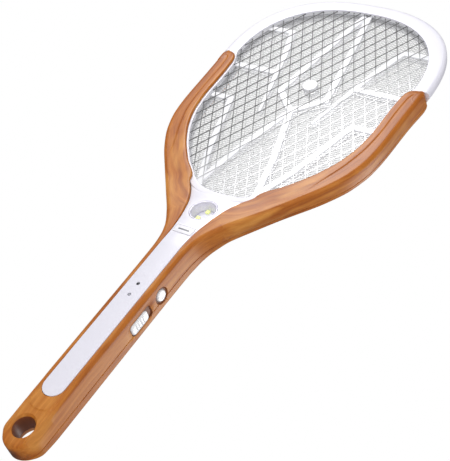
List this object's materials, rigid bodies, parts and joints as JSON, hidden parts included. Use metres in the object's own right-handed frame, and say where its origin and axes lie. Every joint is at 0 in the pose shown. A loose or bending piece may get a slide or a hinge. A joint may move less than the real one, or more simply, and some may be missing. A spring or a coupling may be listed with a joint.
{
  "type": "electric fly swatter",
  "caption": "Racket-shaped electric fly swatter: wood-print handle and arms, white head frame, guard grids, throat lamp, push button and slide switch.",
  "frame": {"origin": "lowest point of the handle's tail, in the middle of the object's width and depth", "axes": "+Z from the tail of the handle to the top of the head, +X to the right seen from the front, front (white strip, lamp and push-button side view) towards -Y"},
  "size_m": [0.204, 0.0248, 0.512],
  "materials": {
    "wood_print": "satin plastic with a printed wood grain",
    "white_plastic": "satin white plastic",
    "button_white": "satin white plastic",
    "dark_plastic": "matte black plastic",
    "pale_plate": "pale plate",
    "grey_lens": "smoked grey lens",
    "grid_metal": "dull wire",
    "mesh_metal": "fine woven wire",
    "chrome": "metallised plastic reflector",
    "steel": "plated steel",
    "clear_lens": "clear plastic lens",
    "led_yellow": "yellow phosphor LED",
    "board_green": "circuit board",
    "transformer_yellow": "taped transformer",
    "capacitor_brown": "dipped film capacitor",
    "battery_wrap": "shrink-wrapped cell",
    "lead_red": "insulated lead",
    "lead_black": "insulated lead"
  },
  "bodies": {
    "casing": {"battery": "battery_wrap", "battery_lead_black": "lead_black", "battery_lead_red": "lead_red", "charge_indicator": "grey_lens", "charging_socket": "steel", "front_centre_spacer": "white_plastic", "front_frame": "white_plastic", "front_guard_grid": "grid_metal", "front_rib_bracket": "white_plastic", "front_shell": "wood_print", "grid_lead_mesh": "lead_red", "grid_lead_outer": "lead_black", "high_voltage_capacitor": "capacitor_brown", "inner_mesh": "mesh_metal", "lamp_board": "board_green", "lamp_lead": "lead_red", "lamp_led_left": "led_yellow", "lamp_led_right": "led_yellow", "lamp_led_upper": "led_yellow", "lamp_lens": "clear_lens", "lamp_reflector": "chrome", "main_board": "board_green", "name_plate": "pale_plate", "power_indicator": "dark_plastic", "rear_centre_spacer": "white_plastic", "rear_frame": "white_plastic", "rear_guard_grid": "grid_metal", "rear_rib_bracket": "white_plastic", "rear_shell": "wood_print", "screw_left_high": "steel", "screw_left_low": "steel", "screw_middle": "steel", "screw_right_high": "steel", "screw_right_low": "steel", "screw_tail": "steel", "screw_upper": "steel", "slide_switch": "steel", "step_up_transformer": "transformer_yellow", "tact_switch": "dark_plastic"},
    "zap_button": {"zap_button": "button_white", "tact_plunger": "dark_plastic"},
    "slide_knob": {"slide_knob": "button_white", "slide_lever": "dark_plastic"}
  },
  "joints": [
    {"name": "button_press", "type": "slide", "parent": "casing", "child": "zap_button", "axis": [-1, 0, 0], "range_m": [0, 0.0015], "stiffness_N_per_m": 300},
    {"name": "switch_slide", "type": "slide", "parent": "casing", "child": "slide_knob", "axis": [0, 0, 1], "range_m": [0, 0.004]}
  ]
}
